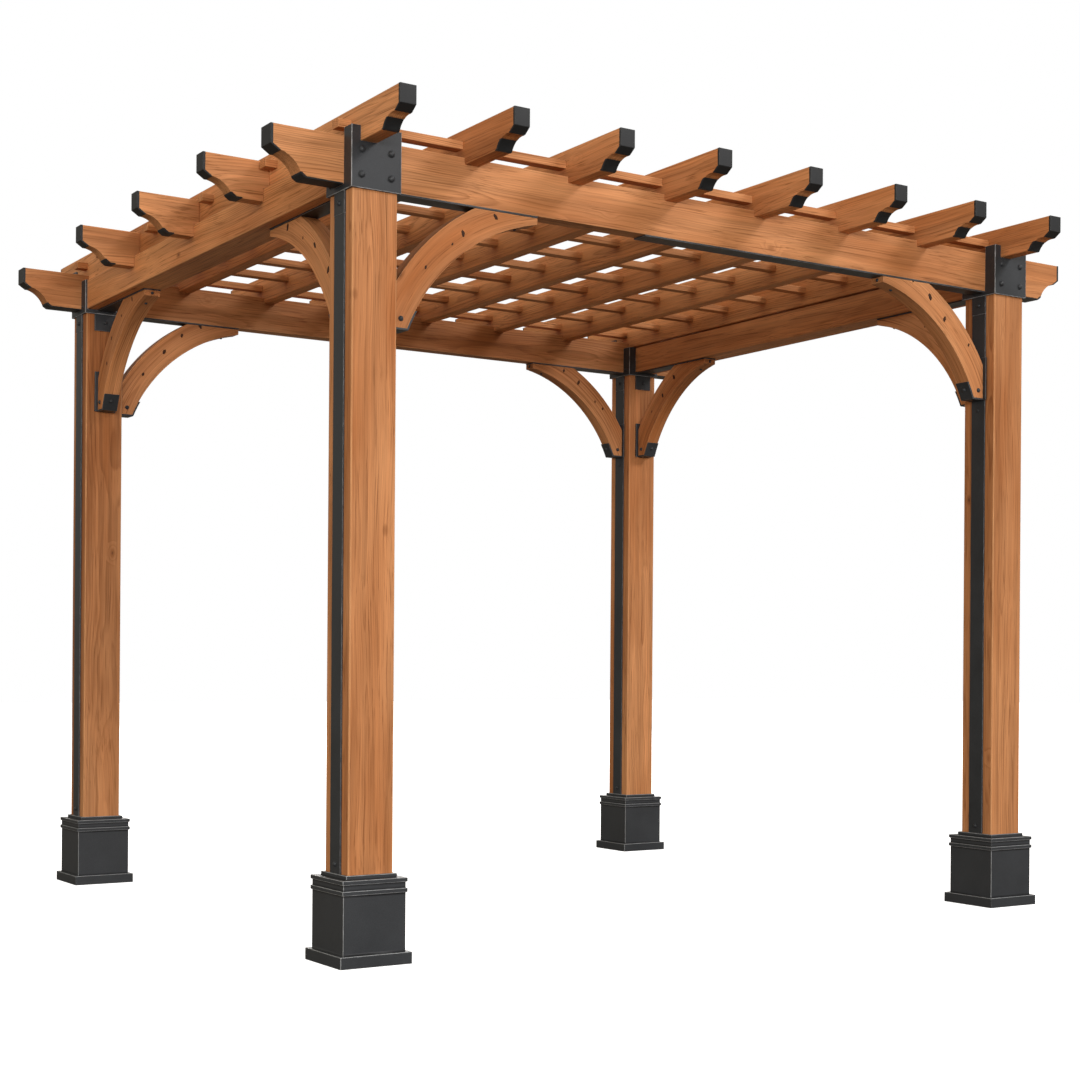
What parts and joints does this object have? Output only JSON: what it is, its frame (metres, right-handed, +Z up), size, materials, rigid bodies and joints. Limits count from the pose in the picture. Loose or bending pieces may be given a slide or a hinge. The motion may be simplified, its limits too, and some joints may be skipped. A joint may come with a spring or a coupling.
{
  "type": "wooden pergola",
  "caption": "Free-standing timber pergola with square posts, arched knee braces, ogee-tailed beams and rafters, slats threaded through the rafters and dark steel corner brackets.",
  "frame": {"origin": "on the ground at the centre of the plan", "axes": "+X along the front to the right, +Y from the front to the back, +Z up"},
  "size_m": [3.106, 2.78, 2.374],
  "materials": {
    "cedar": "warm brown stained softwood with a fine lengthwise grain and small knots",
    "black_steel": "satin charcoal powder coat, worn lighter along the edges",
    "base_skirt": "satin charcoal powder coat with light edge lines"
  },
  "bodies": {
    "root": {"post_front_left": "cedar", "post_front_right": "cedar", "post_back_left": "cedar", "post_back_right": "cedar", "front_beam": "cedar", "back_beam": "cedar", "left_beam": "cedar", "right_beam": "cedar", "rafter_1": "cedar", "rafter_2": "cedar", "rafter_3": "cedar", "rafter_4": "cedar", "rafter_5": "cedar", "rafter_6": "cedar", "rafter_7": "cedar", "rafter_8": "cedar", "left_tails": "cedar", "right_tails": "cedar", "slats": "cedar", "brace_x_front_left": "cedar", "brace_x_front_right": "cedar", "brace_x_back_left": "cedar", "brace_x_back_right": "cedar", "brace_y_front_left": "cedar", "brace_y_front_right": "cedar", "brace_y_back_left": "cedar", "brace_y_back_right": "cedar", "bracket_front_left": "black_steel", "bracket_front_right": "black_steel", "bracket_back_left": "black_steel", "bracket_back_right": "black_steel", "strips_front_left": "black_steel", "strips_front_right": "black_steel", "strips_back_left": "black_steel", "strips_back_right": "black_steel", "brace_shoes": "black_steel", "beam_strips": "black_steel", "rafter_caps_front": "black_steel", "rafter_caps_back": "black_steel", "tail_caps_left": "black_steel", "tail_caps_right": "black_steel", "base_front_left": "base_skirt", "base_front_right": "base_skirt", "base_back_left": "base_skirt", "base_back_right": "base_skirt"}
  },
  "joints": []
}
